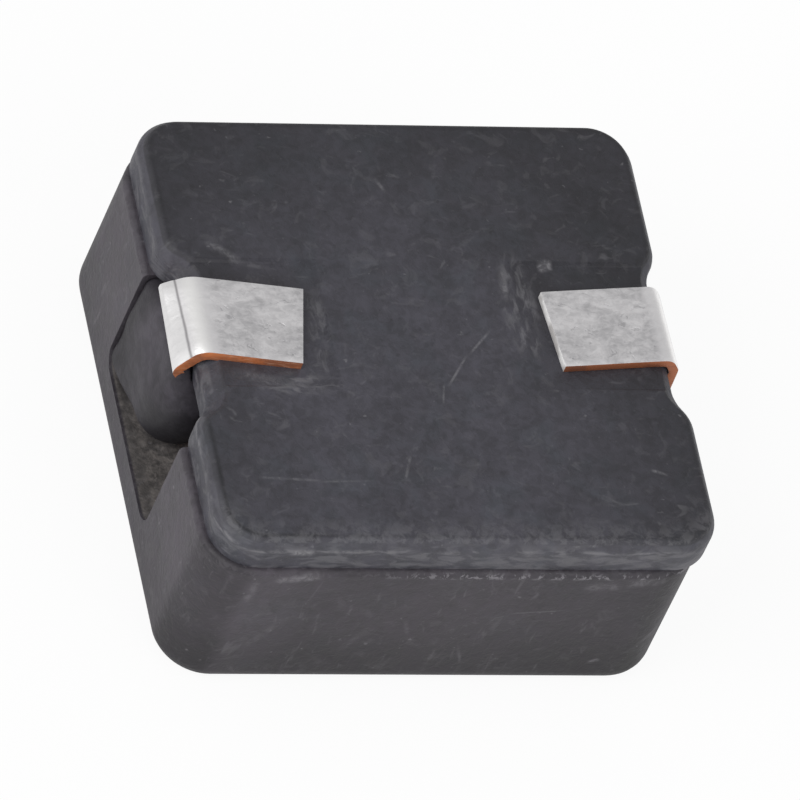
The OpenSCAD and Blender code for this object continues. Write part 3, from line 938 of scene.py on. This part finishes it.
def strip(line, radii, materials):
    """A terminal's strip, not yet laid: ribbon, wall and rounded edges, with a finish on each."""
    bm = led_along([Vector(point) for point in line], radii, STRIP_WIDTH)
    beside = bm.verts.layers.float.new("beside")
    for point in bm.verts:
        point[beside] = point.co.y
    bmesh.ops.remove_doubles(bm, verts=bm.verts, dist=SAME_POINT)
    bmesh.ops.recalc_face_normals(bm, faces=bm.faces)
    across = [edge for edge in bm.edges if abs(edge.verts[0].co.y - edge.verts[1].co.y) > 1]
    bmesh.ops.subdivide_edges(bm, edges=across, cuts=5, use_grid_fill=True)
    holder = scratch_object(bm)
    wall = holder.modifiers.new("wall", "SOLIDIFY")
    wall.thickness = STRIP_THICK
    wall.offset = 0
    wall.use_even_offset = True
    wall.material_offset_rim = SHEARED - BROAD
    for material in materials:
        holder.data.materials.append(material)
    bm = settled(holder)
    for face in bm.faces:
        at_cut_end = abs(face.calc_center_median().x - line[0][0]) < 0.02
        if face.material_index == SHEARED and at_cut_end:
            face.material_index = CUT_END
    eased(bm, sharp_edges(bm, 60), SHEARED_ROUND, 2)
    return bm


def terminal(name, node, side, materials):
    """One solder terminal: a strip folded from its pad over the plate's edge and down."""
    lie = TERMINALS[side]
    bm = strip(lie["line"], lie["radii"], materials)
    run, fold = bm.verts.layers.float["along"], bm.verts.layers.float.new("fold")
    pad_length = lie["fold_x"] - lie["line"][0][0]
    for point in bm.verts:
        point[fold] = point[run] - lie["fold_at"]
        out, across = point.co.x, point.co.y
        flat = ramp(point.co.z, *PAD_ZONE)
        pad = max(0.0, lie["fold_x"] - out) * flat
        across *= 1.0 - NARROW_SHARE * (1.0 - ramp(point.co.z, *NARROW_ZONE)) * lie["narrows"]
        point.co.z += lie["leg_lean"] * across * (1.0 - ramp(point.co.z, *LEAN_ZONE))
        bow = 0.5 + 0.5 * noise.noise(point.co * 0.8 + Vector((side * 5, 0, 0)))
        point.co.z -= PAD_SAG * bow * flat
        turn = lie["fold_turn"] + (lie["end_turn"] - lie["fold_turn"]) * pad / pad_length
        slant = math.radians(turn)
        point.co.x = side * out + across * math.sin(slant)
        point.co.y = (lie["fold_y"] - pad * math.tan(math.radians(lie["pad_turn"]))
                      + across * math.cos(slant))
    return finished(name, bm, materials, node, 35)


def bead(name, node, side, lumps, material):
    """Resin over the joint of a terminal and the wire: round lumps drawn into one, then smoothed."""
    low, high = box_mm(node)
    wall = box_mm("core_pot")[1].x
    bm = bmesh.new()
    for x, y, z, radius in lumps:
        place = Matrix.Translation((side * x, y, z))
        bmesh.ops.create_icosphere(bm, subdivisions=3, radius=radius, matrix=place)
    holder = scratch_object(hull_of(bm))
    even = holder.modifiers.new("even", "REMESH")
    even.mode = "VOXEL"
    even.voxel_size = RESIN_GRAIN
    bm = settled(holder)
    for _ in range(9):
        bmesh.ops.smooth_vert(bm, verts=bm.verts, factor=0.5, use_axis_x=True, use_axis_y=True,
                              use_axis_z=True)
    for point in bm.verts:
        point.co += point.normal * RESIN_SWELL * (0.25 + noise.noise(point.co * 0.8))
        point.co.x = side * min(side * point.co.x, wall)
        point.co.y = min(point.co.y, high.y)
        crest = CREST[side] * ramp(side * point.co.x, *CREST_ZONE)
        point.co.z = max(low.z, min(point.co.z, high.z + crest))
    return finished(name, bm, [material], node, 180)


# --- The part -------------------------------------------------------------------------------

plate_finish = plate_powder()
pot_finish = pot_powder()
strip_finishes = [tinned("tinned_copper"), bare_copper("sheared_copper"), cut_end_painted_highlight("cut_end_painted_highlight")]
resin = cast_resin("dark_resin")
enamel = enamelled_copper("enamelled_copper")

cover_plate(plate_finish)
pot_core(pot_finish)
core_post(pot_finish)
terminal("terminal_left_strip", "terminal_left", LEFT, strip_finishes)
terminal("terminal_right_strip", "terminal_right", RIGHT, strip_finishes)
bead("bead_left_lump", "bead_left", LEFT, BEAD_LUMPS + UP_THE_LEG, resin)
bead("bead_right_lump", "bead_right", RIGHT, BEAD_LUMPS, resin)

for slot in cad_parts["winding"].material_slots:
    slot.material = enamel


# --- Setting --------------------------------------------------------------------------------

def camera():
    """The camera, at the angle the part is shown from."""
    data = bpy.data.cameras.new("camera")
    data.lens = CAMERA_LENS
    data.sensor_width = CAMERA_SENSOR
    data.clip_start = 0.01
    data.clip_end = 10
    made = bpy.data.objects.new("camera", data)
    eye, aim = Vector(CAMERA_EYE), Vector(CAMERA_AIM)
    turn = (aim - eye).to_track_quat("-Z", "Y").to_matrix().to_4x4()
    roll = Matrix.Rotation(math.radians(CAMERA_ROLL), 4, "Z")
    made.matrix_world = Matrix.Translation(eye * MM) @ turn @ roll
    bpy.context.scene.collection.objects.link(made)
    bpy.context.scene.camera = made


def soft_box(name, place, power):
    """A square soft light that faces the part."""
    data = bpy.data.lights.new(name, "AREA")
    data.shape = "SQUARE"
    data.size = LIGHT_SIZE
    data.energy = power
    made = bpy.data.objects.new(name, data)
    made.location = place
    made.rotation_euler = (-Vector(place)).to_track_quat("-Z", "Y").to_euler()
    bpy.context.scene.collection.objects.link(made)


def pale_floor():
    """A plain white floor under the part, which keeps its soft shadow."""
    finish = Finish("white_floor")
    seen = finish.node("ShaderNodeLightPath", output="Is Camera Ray")
    glossy = finish.node("ShaderNodeLightPath", output="Is Glossy Ray")
    through = finish.node("ShaderNodeLightPath", output="Is Transmission Ray")
    lit = finish.node("ShaderNodeBsdfDiffuse", None, {"Color": FLOOR_GREY})
    glow = finish.node("ShaderNodeEmission", None, {"Color": WHITE, "Strength": 1.0})
    shown = FLOOR_GLOW * (seen + glossy + through).held()
    mixed = finish.node("ShaderNodeMixShader", None, {0: shown, 1: lit, 2: glow})
    finish.node("ShaderNodeOutputMaterial", None, {"Surface": mixed})
    bm = bmesh.new()
    bmesh.ops.create_grid(bm, x_segments=1, y_segments=1, size=FLOOR_SIZE)
    mesh = bpy.data.meshes.new("floor")
    bm.to_mesh(mesh)
    bm.free()
    mesh.materials.append(finish.owner)
    floor = bpy.data.objects.new("floor", mesh)
    bpy.context.scene.collection.objects.link(floor)


def studio():
    """White surroundings and two soft lights."""
    around = Finish("studio", "worlds")
    seen = around.node("ShaderNodeLightPath", output="Is Camera Ray")
    room = around.node("ShaderNodeBackground", None, {"Color": WHITE, "Strength": ROOM_LIGHT})
    shown = around.node("ShaderNodeBackground", None, {"Color": WHITE, "Strength": 1.0})
    mixed = around.node("ShaderNodeMixShader", None, {0: seen, 1: room, 2: shown})
    around.node("ShaderNodeOutputWorld", None, {"Surface": mixed})
    bpy.context.scene.world = around.owner
    soft_box("key_light", KEY_PLACE, KEY_POWER)
    soft_box("fill_light", FILL_PLACE, FILL_POWER)


camera()
pale_floor()
studio()
bpy.context.scene.view_settings.view_transform = "Standard"
